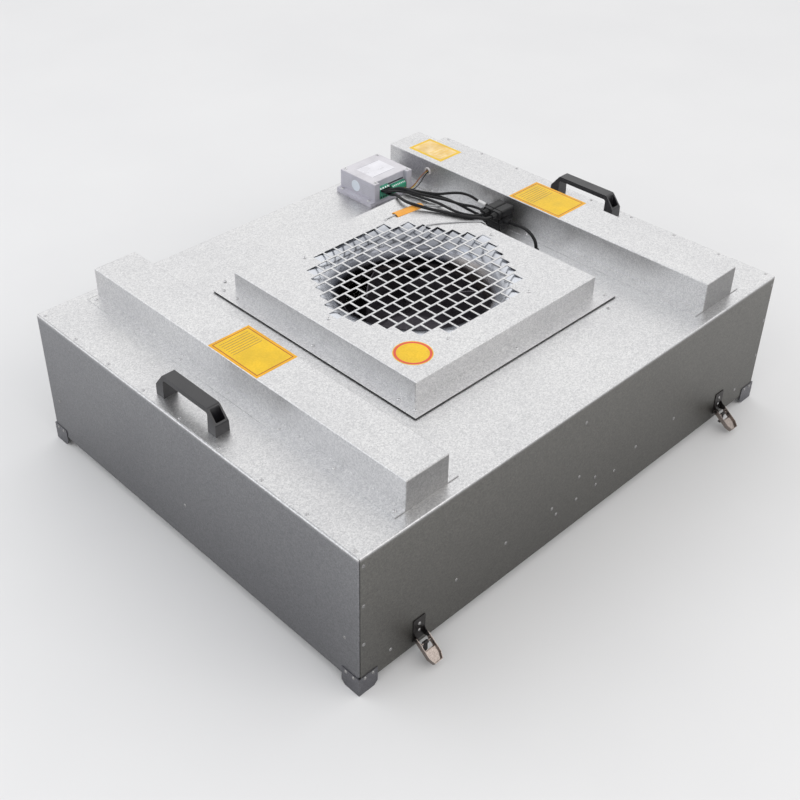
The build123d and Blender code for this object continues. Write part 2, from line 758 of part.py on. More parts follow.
def terminal_block(x_range, height):
    """A row of screw terminals in the recess of the controller."""
    y_range = (-box_depth / 2 + seat_gap, -box_depth / 2 + box_recess_depth)
    body = block(x_range, y_range, (box_foot_height, box_foot_height + height))
    edge = body.edges().filter_by(Axis.X).group_by(Axis.Z)[-1].sort_by(Axis.Y)[0]
    body = chamfer(edge, terminal_slope)
    return Pos(box_x, box_y, top) * body


# ---------------------------------------------------------------- wire outlets and connectors
def wire_grommet():
    """A round grommet seated in the wall of the right ridge cover."""
    outside = ridge_offset - ridge_width / 2
    ring = turned([(grommet_bore, -grommet_lip), (grommet_radius - 1, -grommet_lip),
                   (grommet_radius, 0), (grommet_hole - seat_gap, 0),
                   (grommet_hole - seat_gap, sheet), (grommet_hole + 1, sheet),
                   (grommet_hole + 1, sheet + grommet_lip), (grommet_bore, sheet + grommet_lip)])
    return Pos(outside, grommet_y, top + grommet_height) * Rot(0, 90, 0) * ring


def cable_gland():
    """A gland with a hexagon and a domed nut, its thread through the top cover."""
    bore = power_cable / 2 + gland_play
    nut = plate(RegularPolygon(gland_radius, 6), 0, gland_height / 2)
    dome = turned([(0, gland_height / 2), (gland_radius * 0.85, gland_height / 2),
                   (gland_radius * 0.75, gland_height * 0.8), (bore + 1.5, gland_height),
                   (0, gland_height)])
    thread = turned([(0, -gland_thread_length), (gland_thread_radius, -gland_thread_length),
                     (gland_thread_radius, 0), (0, 0)])
    gland = nut + dome + thread
    gland -= Cylinder(bore, 4 * gland_thread_length)
    return Pos(gland_x, gland_y, top) * gland


def plug(length):
    """A cable plug along +Y with its boot at the origin end."""
    shape = plug_boot_length
    shell = Plane.XZ * RectangleRounded(plug_width, plug_height, plug_corner)
    body = extrude(shell, amount=length, dir=(0, 1, 0))
    groove = Plane.XZ * (Rectangle(2 * plug_width, 2 * plug_height) - RectangleRounded(
        plug_width - 2 * plug_groove, plug_height - 2 * plug_groove, plug_corner - plug_groove))
    body -= Pos(0, plug_collar, 0) * extrude(groove, amount=plug_groove * 2, dir=(0, 1, 0))
    mouth = Plane(origin=(0, -shape, 0), x_dir=(1, 0, 0), z_dir=(0, 1, 0))
    root = Plane(origin=(0, 0, 0), x_dir=(1, 0, 0), z_dir=(0, 1, 0))
    boot = loft([mouth * Circle(plug_boot_radius), root * Circle(plug_boot_radius * 1.4)])
    return Pos(0, shape, 0) * (body + boot)


# ---------------------------------------------------------------- build: housing and air path
save("top_cover", top_cover())
right_panel = side_panel()
save("side_panel_right", right_panel)
save("side_panel_left", Rot(0, 0, 180) * right_panel)
save("ridge_cover_right", ridge_cover(True))
save("ridge_cover_left", Rot(0, 0, 180) * ridge_cover(False))
save("inlet_panel", inlet_panel())
save("inlet_gasket", inlet_gasket())
save("inlet_ring", inlet_ring())
save("impeller", impeller())
save("motor", motor())
save("fan_deck", fan_deck())

# ---------------------------------------------------------------- build: filter
front_rail = filter_rail(filter_x, filter_y)
left_rail = Rot(0, 0, -90) * filter_rail(filter_y, filter_x)
save("filter_rail_front", front_rail)
save("filter_rail_back", Rot(0, 0, 180) * front_rail)
save("filter_rail_left", left_rail)
save("filter_rail_right", Rot(0, 0, 180) * left_rail)
save("filter_media", filter_media())
save("filter_guard", filter_guard())
clip = filter_clip()
front_clips = [Pos(x, 0, 0) * clip for x in (-clip_offset, clip_offset)]
save("filter_clips", *front_clips, *[Rot(0, 0, 180) * each for each in front_clips])

# ---------------------------------------------------------------- build: fittings
bracket = corner_bracket()
save("corner_bracket_1", Rot(0, 0, 180) * bracket)
save("corner_bracket_2", mirror(bracket, Plane.XZ))
save("corner_bracket_3", bracket)
save("corner_bracket_4", mirror(bracket, Plane.YZ))

grip = Pos(0, 0, top) * handle()
save("handle_left", Pos(-handle_offset, 0, 0) * grip)
save("handle_right", Pos(handle_offset, 0, 0) * grip)

base, lever, hook = latch_base(), latch_lever(), latch_hook()
for number, place in enumerate(latch_places(), start=1):
    save(f"latch_base_{number}", place * base)
    save(f"latch_lever_{number}", place * lever_place(latch_droop) * lever)
    pivot = lever_place(latch_droop) * Pos(0, hook_pin_reach, 0)
    pin_y, pin_z = pivot.position.Y, pivot.position.Z
    save(f"latch_hook_{number}", place * Pos(0, pin_y, pin_z) * hook)

save("controller_base", controller_base())
save("controller_lid", controller_lid())
save("controller_terminals", terminal_block(terminal_wide, terminal_wide_height),
     terminal_block(terminal_small, terminal_small_height),
     terminal_block(terminal_long, terminal_long_height))
save("wire_grommet", wire_grommet())
save("cable_gland", cable_gland())

# ---------------------------------------------------------------- build: screws and rivets
head = screw_head()
edge = inlet_size / 2 + inlet_flange / 2
flange_level = panel_base + sheet
screws = [Pos(x, y, flange_level) * head for x, y in corners_of(edge, edge)]
screws += [Pos(x, y, flange_level) * head for x, y in corners_of(edge, inlet_side_screw)]
screws += [Pos(x, 0, flange_level) * head for x in (-edge, edge)]
screws += [Pos(0, y, flange_level) * head for y in (-edge, edge)]
screws += [Pos(edge, earth_screw_y, flange_level) * head]
screws += [Pos(0, 0, panel_top) * each * head for each in PolarLocations(ring_screw_radius, 6)]
screws += [Pos(x, side * (inlet_edge + cover_screw_gap), top) * head
           for x, side in zip(cover_screw_x, (1, -1))]
screws += [Pos(box_x + x, box_y + y, top + box_foot_height) * head
           for x, y in corners_of(*box_foot_screw)]
screws += [Pos(box_x + x, box_y + y, top + box_height) * head
           for x, y in corners_of(*box_lid_screw)]
screws += [Pos(x, y, top + pocket_floor) * head
           for x, y in corners_of(handle_offset, handle_screw_reach())]
save("panel_screws", *screws)

rivets = []
for x_side, y_side in corners_of(1, 1):
    rivets += bracket_rivets_at(x_side, y_side)
for place in latch_places():
    rivets += [place * Pos(0, -latch_plate, rise) * Rot(90, 0, 0) * rivet_head()
               for rise in latch_rivets]
save("housing_rivets", *rivets)

# ---------------------------------------------------------------- build: connectors and cables
# The plugs lie in the trough beside the ridge: one on the cover, two on top of it side by side,
# and two across on top of those.
layer = [top + plug_height * (step + 0.5) for step in range(3)]
turned_back = Rot(0, 0, 180)
save("plug_side", Pos(side_plug_x, plug_entry_y, layer[0]) * turned_back * plug(plug_length))
save("plug_loop", Pos(loop_plug_x, plug_entry_y, layer[1]) * turned_back * plug(plug_length))
joint_y = plug_entry_y - plug_boot_length - coupler_length
socket_end = joint_y - coupler_length - plug_boot_length
save("fan_coupler", Pos(coupler_x, plug_entry_y, layer[1]) * turned_back * plug(coupler_length),
     Pos(coupler_x, socket_end, layer[1]) * plug(coupler_length))
crosswise = Rot(0, 0, -90)
save("plug_supply", Pos(cross_entry_x, supply_plug_y, layer[2]) * crosswise * plug(plug_length))
save("plug_control", Pos(cross_entry_x, control_plug_y, layer[2]) * crosswise * plug(plug_length))

block_front = box_y - box_depth / 2
save("cable_supply", cable([
    (236, block_front, 333), (236, 307, 333), (222, 284, 345), (206, 258, 362.5),
    (196, 231, 365), (193, 210, 365.5), (198, 189, 365.5), (208, 167, 362.5),
    (220, 143, 361), (231, 114, 361), (240, 91, 361), (250, 71, 361), (262, 59, 360.5),
    (276, supply_plug_y, layer[2]), (cross_entry_x, supply_plug_y, layer[2])], power_cable))
save("cable_control", cable([
    (224, block_front, 341), (224, 309, 341), (225, 287, 353), (228, 262, 361),
    (234, 232, 361), (239, 203, 361), (242, 178, 362.5), (242, 156, 364),
    (243, 134, 362), (245, 113, 360.6), (249, 95, 360.6), (258, 80, 360.4),
    (274, control_plug_y, layer[2]), (cross_entry_x, control_plug_y, layer[2])],
    signal_cable))
save("cable_fan_feed", cable([
    (231, block_front, 341), (231, 309, 341), (231, 287, 357), (231, 262, 368),
    (231, 234, 369), (237, 206, 369), (255, 180, 365.5), (283, 168, 352.5),
    (309, 153, 338.5), (coupler_x, 132, layer[1]), (coupler_x, plug_entry_y, layer[1])],
    signal_cable))
save("cable_loop", cable([
    (238, block_front, 341), (238, 309, 341), (239, 289, 353), (243, 263, 361),
    (255, 230, 361), (274, 197, 360.6), (296, 183, 361), (321, 173, 357),
    (341, 158, 348), (loop_plug_x, 137, layer[1]), (loop_plug_x, plug_entry_y, layer[1])],
    signal_cable))
save("cable_side", cable([
    (245, block_front, 341), (245, 306, 341), (251, 285, 346), (263, 258, 350),
    (273, 232, 350), (284, 204, 350.5), (300, 180, 342.5), (316, 160, 331),
    (side_plug_x, 137, layer[0]), (side_plug_x, plug_entry_y, layer[0])], signal_cable))
save("cable_motor", cable([
    (coupler_x, socket_end, layer[1]), (coupler_x, 18, layer[1]), (321, -4, 343),
    (314, -26, 347), (308, -46, 345), (gland_x, gland_y, 331),
    (gland_x, gland_y, top - 2 * sheet)], power_cable))

wall_inside = ridge_offset - ridge_width / 2 + 3 * sheet + grommet_lip
wall_outside = ridge_offset - ridge_width / 2 - 2 * grommet_lip
entry = top + grommet_height
wire_places = [(2.5, 0.0), (-1.3, -2.3), (-1.3, 2.3)]
brown, black, yellow = [(grommet_y + side, entry + rise) for rise, side in wire_places]
save("wire_brown", cable([
    (wall_inside, *brown), (wall_outside, *brown), (340, 308, 344), (319, 303, 337),
    (300, 300, 330), (287, 306, 326), (285, 314, 325), (285, block_front, 325)], core_wire))
save("wire_black", cable([
    (wall_inside, *black), (wall_outside, *black), (341, 304, 339), (322, 298, 331),
    (304, 297, 325), (293, 304, 323), (291.5, 313, 322.5), (291.5, block_front, 322.5)],
    core_wire))
save("wire_yellow", cable([
    (wall_inside, *yellow), (wall_outside, *yellow), (342, 314, 338), (326, 311, 329),
    (311, 307, 323.5), (301, 309, 322.5), (298, 315, 322.5), (298, block_front, 322.5)],
    core_wire))

panel_rest = panel_top + seat_gap + core_wire / 2
ring_screw = PolarLocations(ring_screw_radius, 6).locations[1].position
stud_x, stud_y = edge, earth_screw_y
stud_rest = flange_level + 0.3 + core_wire / 2
save("wire_earth", cable([
    (ring_screw.X + screw_radius + 0.2, ring_screw.Y, panel_rest), (142, 198.6, panel_rest),
    (181, 195.5, panel_rest), (218, 190.8, panel_rest), (231, 171, panel_rest),
    (246, 155, panel_rest), (262, 149, panel_rest), (269, 146, 342), (stud_x + 1, 140, 326),
    (stud_x, 128, stud_rest), (stud_x, stud_y + screw_radius + 0.2, stud_rest)], core_wire))
bond_rest = panel_top + seat_gap + thin_wire / 2
save("wire_bond", cable([
    (140, 113, 350.8), (150, 120, 355.5), (162, 119, bond_rest + 1), (177, 112, bond_rest),
    (194, 101, bond_rest), (219, 83, bond_rest), (242, 65, bond_rest), (260, 47, bond_rest),
    (267, 42, 342), (stud_x, 46, 326), (stud_x, 60, stud_rest + 0.2),
    (stud_x + 1, 82, stud_rest + 0.2),
    (stud_x, stud_y - screw_radius - 0.2, stud_rest + 0.2)], thin_wire))


def wire_tag():
    """A folded paper tag lying over the earth wire like a low roof."""
    ridge = core_wire + seat_gap + tag_play + tag_thickness
    half = tag_width / 2
    roof = across([(-half, 0), (-core_wire, ridge - tag_thickness), (core_wire, ridge - tag_thickness),
                   (half, 0), (half, tag_thickness), (core_wire, ridge), (-core_wire, ridge),
                   (-half, tag_thickness)], tag_length)
    return Pos(*tag_middle, panel_top) * Rot(0, 0, tag_turn) * roof


save("wire_tag", wire_tag())
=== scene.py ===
# %% [markdown]
# # A fan filter unit, dressed
#
# A fan filter unit is a box of bright coated steel that sits in a cleanroom ceiling: a fan in the
# middle draws air through the punched grille on top and blows it down through a filter. The solids
# come from the CAD model; this notebook gives them their finishes and adds the small things that a
# press shop leaves on such a box: rows of rivets, labels, terminal screws and loose cables.

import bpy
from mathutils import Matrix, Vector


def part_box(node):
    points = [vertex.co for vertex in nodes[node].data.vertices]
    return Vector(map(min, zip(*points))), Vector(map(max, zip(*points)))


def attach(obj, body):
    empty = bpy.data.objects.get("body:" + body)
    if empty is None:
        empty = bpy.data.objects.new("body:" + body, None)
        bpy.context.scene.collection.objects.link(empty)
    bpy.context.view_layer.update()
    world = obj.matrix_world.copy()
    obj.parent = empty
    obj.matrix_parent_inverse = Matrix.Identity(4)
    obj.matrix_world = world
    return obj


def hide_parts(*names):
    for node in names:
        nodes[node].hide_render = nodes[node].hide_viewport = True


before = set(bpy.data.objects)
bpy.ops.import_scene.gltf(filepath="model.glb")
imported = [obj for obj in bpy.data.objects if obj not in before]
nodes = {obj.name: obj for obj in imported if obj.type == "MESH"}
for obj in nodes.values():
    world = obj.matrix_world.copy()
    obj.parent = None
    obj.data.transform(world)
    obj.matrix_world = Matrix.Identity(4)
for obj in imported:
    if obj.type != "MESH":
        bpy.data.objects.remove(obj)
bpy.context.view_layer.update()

# %% [markdown]
# ## Tools for the bench
#
# The drawings of the unit are in millimetres and Blender works in metres, so one small helper turns
# a drawing point into a Blender point, and one asks the frame where a CAD node starts and ends. The
# levels and walls that many small parts stand on are measured once with it, so that they follow the
# CAD model. The last helper puts a finished mesh on the body that carries it.

# %% Bench helpers
import math

import bmesh
import bpy
from mathutils import Matrix, Vector

MM = 0.001


def metres(*point):
    """A drawing point in millimetres as a Blender vector."""
    return Vector(point) * MM


def corners_of(node):
    """Lowest and highest corner of a CAD node, to a hundredth of a millimetre."""
    return [Vector([round(value / MM, 2) for value in corner]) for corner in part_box(node)]


def mesh_piece(name, bm, coats, body="housing"):
    """Turns a bmesh into an object with its finishes, riding on a body."""
    mesh = bpy.data.meshes.new(name)
    bm.to_mesh(mesh)
    bm.free()
    for coat in coats:
        mesh.materials.append(coat)
    piece = bpy.data.objects.new(name, mesh)
    bpy.context.scene.collection.objects.link(piece)
    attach(piece, body)
    print(name, "faces:", len(mesh.polygons))
    return piece


SHEET = 1.2
LONG_WALL, TOP = corners_of("top_cover")[1].yz
END_WALL = corners_of("side_panel_right")[1].x
RIDGE_TOP = corners_of("ridge_cover_left")[1].z
RIDGE_FLANGE = TOP + SHEET + 0.05
PANEL_FLANGE = corners_of("inlet_panel")[0].z + SHEET
PANEL_TOP = corners_of("inlet_panel")[1].z
print("walls:", END_WALL, LONG_WALL, "levels:", TOP, RIDGE_FLANGE, PANEL_FLANGE, PANEL_TOP, RIDGE_TOP)

# %% [markdown]
# ## The camera
#
# The camera stands in front of the left corner, a little above waist height, and looks down at the
# box. Its frame is shifted slightly, as when a picture has been cropped off centre. Blender's camera
# looks along its own −Z, so the matrix holds its right, up and backward directions.

# %% Set the camera
camera_place = Vector((-1.4553, -1.3896, 1.5921))
yaw, pitch, roll = (math.radians(angle) for angle in (42.712, 34.749, -0.535))
look = Vector((math.cos(pitch) * math.sin(yaw), math.cos(pitch) * math.cos(yaw), -math.sin(pitch)))
level = Vector((math.cos(yaw), -math.sin(yaw), 0))
rise = level.cross(look)
right = math.cos(roll) * level + math.sin(roll) * rise
up = -math.sin(roll) * level + math.cos(roll) * rise

camera_data = bpy.data.cameras.new("studio_camera")
camera_data.sensor_fit = "HORIZONTAL"
camera_data.sensor_width = 36.0
camera_data.lens = 53.406
camera_data.shift_x = 0.0616
camera_data.shift_y = -0.0744
camera = bpy.data.objects.new("studio_camera", camera_data)
camera.matrix_world = Matrix((
    (right.x, up.x, -look.x, camera_place.x),
    (right.y, up.y, -look.y, camera_place.y),
    (right.z, up.z, -look.z, camera_place.z),
    (0, 0, 0, 1)))
bpy.context.scene.collection.objects.link(camera)
bpy.context.scene.camera = camera
print("camera lens:", round(camera_data.lens, 2), "mm, place:", tuple(camera_place))

# %% [markdown]
# ## Finishes from nodes
#
# Every finish starts from the same Principled shader. A finish reads Object coordinates, and since
# all pieces keep their origin at the origin of the box, these are the real places in metres: a grain
# of scale 400 has about 400 grains to the metre on every piece alike. Three helpers add a node,
# a grain and a colour that follows the grain.

# %% Finish helpers


def new_finish(name, metallic=0.0, roughness=0.5):
    """An empty finish: its node tree and its shader."""
    finish = bpy.data.materials.new(name)
    finish.use_nodes = True
    tree = finish.node_tree
    shader = tree.nodes["Principled BSDF"]
    shader.inputs["Metallic"].default_value = metallic
    shader.inputs["Roughness"].default_value = roughness
    return finish, tree, shader


def add_node(tree, kind, inputs=None, **settings):
    """Adds a node, with its inputs set to values or linked to sockets."""
    node = tree.nodes.new(kind)
    for key, value in settings.items():
        setattr(node, key, value)
    for key, value in (inputs or {}).items():
        if isinstance(value, bpy.types.NodeSocket):
            tree.links.new(value, node.inputs[key])
        else:
            node.inputs[key].default_value = value
    return node


def place_of(tree, stretch=(1, 1, 1)):
    """The real place on the piece, stretched where a grain runs one way."""
    coordinates = add_node(tree, "ShaderNodeTexCoord")
    mapping = add_node(tree, "ShaderNodeMapping",
                       {"Vector": coordinates.outputs["Object"], "Scale": stretch})
    return mapping.outputs["Vector"]


def grain_of(tree, place, scale, detail=3.0, roughness=0.55):
    """A noise grain between 0 and 1."""
    inputs = {"Vector": place, "Scale": scale, "Detail": detail, "Roughness": roughness}
    return add_node(tree, "ShaderNodeTexNoise", inputs).outputs["Fac"]


def ramp_of(tree, value, *stops):
    """A colour that follows a value; each stop is a position and a colour."""
    ramp = add_node(tree, "ShaderNodeValToRGB", {"Fac": value})
    elements = ramp.color_ramp.elements
    while len(elements) < len(stops):
        elements.new(0.5)
    for element, (position, colour) in zip(elements, stops):
        element.position = position
        element.color = (*colour, 1.0)
    return ramp.outputs["Color"]


def range_of(tree, value, low, high):
    """A grain turned into a number from low to high."""
    inputs = {"Value": value, "From Min": 0.3, "From Max": 0.7, "To Min": low, "To Max": high}
    return add_node(tree, "ShaderNodeMapRange", inputs).outputs["Result"]


def mixed(tree, kind, factor, first, second):
    """Two colours put together, as layers of paint are."""
    node = add_node(tree, "ShaderNodeMix", data_type="RGBA", blend_type=kind)
    for socket, value in zip((node.inputs[0], node.inputs[6], node.inputs[7]),
                             (factor, first, second)):
        if isinstance(value, bpy.types.NodeSocket):
            tree.links.new(value, socket)
        else:
            socket.default_value = value
    return node.outputs[2]


def relief(tree, shader, height, depth, strength=1.0, below=None):
    """Bump of a real depth in metres under the shader, on top of another bump if given."""
    inputs = {"Height": height, "Distance": depth, "Strength": strength}
    if below is not None:
        inputs["Normal"] = below
    normal = add_node(tree, "ShaderNodeBump", inputs).outputs["Normal"]
    tree.links.new(normal, shader.inputs["Normal"])
    return normal


# %% [markdown]
# ### Coated steel sheet
#
# The housing is steel with an aluminium-zinc coating. Close up it has a fine spangle of lighter and
# darker crystals, a few millimetres across and less. It could be made from one noise, but crystals
# have straight borders, so Voronoi cells give the spangle and a noise breaks it up. A much wider
# noise adds the faint clouds that handling leaves, and a very shallow one the waves of thin sheet.
# The walls carry a painted shade: a darker grey than the top, darkest near the floor, so the height above
# the floor darkens the colour below the top edge. The painted shade on the side panels is lighter and
# cooler than on the cover's walls, and the folded ends of the ridges are painted darker than their tops
# as shade, so one function makes the four kinds of sheet.

# %% Coated sheet
TOP_BEND = (TOP - 1.5) * MM
RIDGE_END = (corners_of("ridge_cover_left")[1].y - 0.3) * MM


def coated_sheet(name, shade_at_foot, shade_at_brow, ends=None):
    """Sheet with painted shade: a tone at the floor, one under the top bend, one on ridge end faces."""
    finish, tree, shader = new_finish(name, metallic=1.0)
    place = place_of(tree)
    cells = add_node(tree, "ShaderNodeTexVoronoi", {"Vector": place, "Scale": 360.0})
    crystal = add_node(tree, "ShaderNodeSeparateColor", {"Color": cells.outputs["Color"]})
    fine = grain_of(tree, place, 520.0, 2.0)
    cloud = grain_of(tree, place, 5.0, 4.0)
    spangle = ramp_of(tree, crystal.outputs[0], (0.0, (0.60, 0.60, 0.605)),
                      (1.0, (0.76, 0.757, 0.755)))
    grit = ramp_of(tree, fine, (0.36, (0.78, 0.78, 0.785)), (0.56, (1.0, 1.0, 1.0)))
    veil = ramp_of(tree, cloud, (0.35, (0.95, 0.95, 0.955)), (0.65, (1.0, 1.0, 1.0)))
    place_axes = add_node(tree, "ShaderNodeSeparateXYZ", {"Vector": place}).outputs
    # Painted shade: the walls darken below the top bend, most at the floor.
    painted_shade = ramp_of(tree, place_axes["Z"], (0.0, shade_at_foot), (TOP_BEND - 0.0045, shade_at_brow),
                     (TOP_BEND, (1.0, 1.0, 1.0)))
    colour = mixed(tree, "MULTIPLY", 1.0, mixed(tree, "MULTIPLY", 1.0, spangle, grit), veil)
    colour = mixed(tree, "MULTIPLY", 1.0, colour, painted_shade)
    # Painted shade on the end faces of a ridge.
    if ends:
        along = add_node(tree, "ShaderNodeMath", {0: place_axes["Y"]}, operation="ABSOLUTE")
        folded = ramp_of(tree, along.outputs["Value"], (RIDGE_END - 0.0015, (1.0, 1.0, 1.0)),
                         (RIDGE_END, ends))
        colour = mixed(tree, "MULTIPLY", 1.0, colour, folded)
    tree.links.new(colour, shader.inputs["Base Color"])
    tree.links.new(range_of(tree, fine, 0.32, 0.46), shader.inputs["Roughness"])
    waves = relief(tree, shader, grain_of(tree, place, 3.0, 1.0), 0.004, 0.5)
    relief(tree, shader, crystal.outputs[1], 0.00012, 0.6, waves)
    return finish


# The four sheets differ only in the tones of their painted wall shade.
sheet_finish = coated_sheet("coated_sheet", (0.24, 0.24, 0.26), (0.44, 0.44, 0.45))
cover_finish = coated_sheet("cover_sheet", (0.215, 0.211, 0.196), (0.295, 0.29, 0.27))
panel_finish = coated_sheet("panel_sheet", (0.29, 0.292, 0.305), (0.425, 0.43, 0.445))
ridge_finish = coated_sheet("ridge_sheet", (1.0, 1.0, 1.0), (1.0, 1.0, 1.0), (0.15, 0.144, 0.135))
print("made", [finish.name for finish in (sheet_finish, cover_finish, panel_finish, ridge_finish)])

# %% [markdown]
# ### Plain grained finishes
#
# Many other parts differ only in their colours and in how coarse and how deep the grain is: moulded
# plastics, rubber, cast metal, filter paper. One function with those numbers makes them all. A grain
# that is stretched one way gives brushed or drawn metal, and a level can be given under which the
# colour is darkened by a painted shade.

# %% Grained finish


def grained(name, dark, light, scale, depth, rough, metallic=0.0, stretch=(1, 1, 1), gloss=0.5,
            painted_shade=None):
    """A finish between a dark and a light colour, with a bump as deep as its grain."""
    finish, tree, shader = new_finish(name, metallic)
    place = place_of(tree, stretch)
    grain = grain_of(tree, place, scale)
    wide = grain_of(tree, place_of(tree), 22.0, 4.0)
    body = ramp_of(tree, grain, (0.3, dark), (0.7, light))
    soil = ramp_of(tree, wide, (0.36, (0.86, 0.86, 0.86)), (0.6, (1.0, 1.0, 1.0)))
    colour = mixed(tree, "MULTIPLY", 1.0, body, soil)
    # Below the level the colour is darkened by a painted shade tone.
    if painted_shade:
        level, tone = painted_shade
        height = add_node(tree, "ShaderNodeSeparateXYZ", {"Vector": place_of(tree)}).outputs["Z"]
        under = ramp_of(tree, height, (level, tone), (level + 0.001, (1.0, 1.0, 1.0)))
        colour = mixed(tree, "MULTIPLY", 1.0, colour, under)
    tree.links.new(colour, shader.inputs["Base Color"])
    tree.links.new(range_of(tree, wide, *rough), shader.inputs["Roughness"])
    relief(tree, shader, grain, depth, 0.7)
    shader.inputs["Specular IOR Level"].default_value = gloss
    return finish


# %% [markdown]
# ### Spun aluminium
#
# The inlet ring is spun: a flat disc is pressed over a turning form, and the roller leaves fine rings
# round the axis. The distance from the axis, fed to a noise as its only coordinate, gives rings that
# follow the form at every height. The metal is bright at the rim, painted darker down the throat as
# shade and painted with a warm highlight on the lip, so the height picks a second colour. A painted
# warm highlight lies on one side of the throat, which is a direction from the axis.

# %% Spun aluminium
HIGHLIGHT_SIDE = (0.906, -0.423, 0.0)


def spun_metal():
    """Bright metal with fine turned rings, painted shade down the throat, painted highlights on the lip
    and one side.
    """
    finish, tree, shader = new_finish("spun_aluminium", metallic=1.0)
    flat = place_of(tree, (1, 1, 0))
    radius = add_node(tree, "ShaderNodeVectorMath", {0: flat}, operation="LENGTH")
    across_rings = add_node(tree, "ShaderNodeCombineXYZ", {"X": radius.outputs["Value"]})
    rings = grain_of(tree, across_rings.outputs["Vector"], 900.0, 2.0)
    cloud = grain_of(tree, place_of(tree), 14.0, 3.0)
    turned = ramp_of(tree, rings, (0.3, (0.78, 0.78, 0.79)), (0.7, (1.0, 1.0, 1.0)))
    level = add_node(tree, "ShaderNodeSeparateXYZ", {"Vector": place_of(tree)}).outputs["Z"]
    inputs = {"Value": level, "From Min": 0.286, "From Max": 0.356}
    depth = add_node(tree, "ShaderNodeMapRange", inputs).outputs["Result"]
    # Painted shade that darkens the metal down the throat, with a painted warm highlight on the lip at the
    # bottom.
    painted_shade_and_lip_highlight = ramp_of(tree, depth, (0.0, (0.50, 0.44, 0.39)), (0.08, (0.34, 0.31, 0.29)),
                      (0.2, (0.10, 0.10, 0.115)), (0.62, (0.22, 0.23, 0.26)),
                      (0.93, (0.62, 0.64, 0.68)))
    outward = add_node(tree, "ShaderNodeVectorMath", {0: flat}, operation="NORMALIZE")
    towards = add_node(tree, "ShaderNodeVectorMath", {0: outward.outputs["Vector"], 1: HIGHLIGHT_SIDE},
                       operation="DOT_PRODUCT")
    # A painted warm highlight on one side of the lower throat.
    painted_side_highlight = ramp_of(tree, towards.outputs["Value"], (0.72, (0.0, 0.0, 0.0)), (0.95, (1.0, 1.0, 1.0)))
    deep = ramp_of(tree, depth, (0.35, (1.0, 1.0, 1.0)), (0.7, (0.0, 0.0, 0.0)))
    painted_highlight_patch = mixed(tree, "MULTIPLY", 1.0, painted_side_highlight, deep)
    tone = mixed(tree, "MIX", painted_highlight_patch, painted_shade_and_lip_highlight, (0.62, 0.56, 0.51, 1.0))
    tree.links.new(mixed(tree, "MULTIPLY", 1.0, tone, turned), shader.inputs["Base Color"])
    tree.links.new(range_of(tree, cloud, 0.16, 0.3), shader.inputs["Roughness"])
    relief(tree, shader, rings, 0.00006, 0.8)
    return finish


# %% [markdown]
# ### A finish for every slot
#
# The CAD record names a material slot for every solid. The finish of each slot is kept under the same
# name, and one loop hands them out. The large sheets get their own tones of painted shade on the walls.

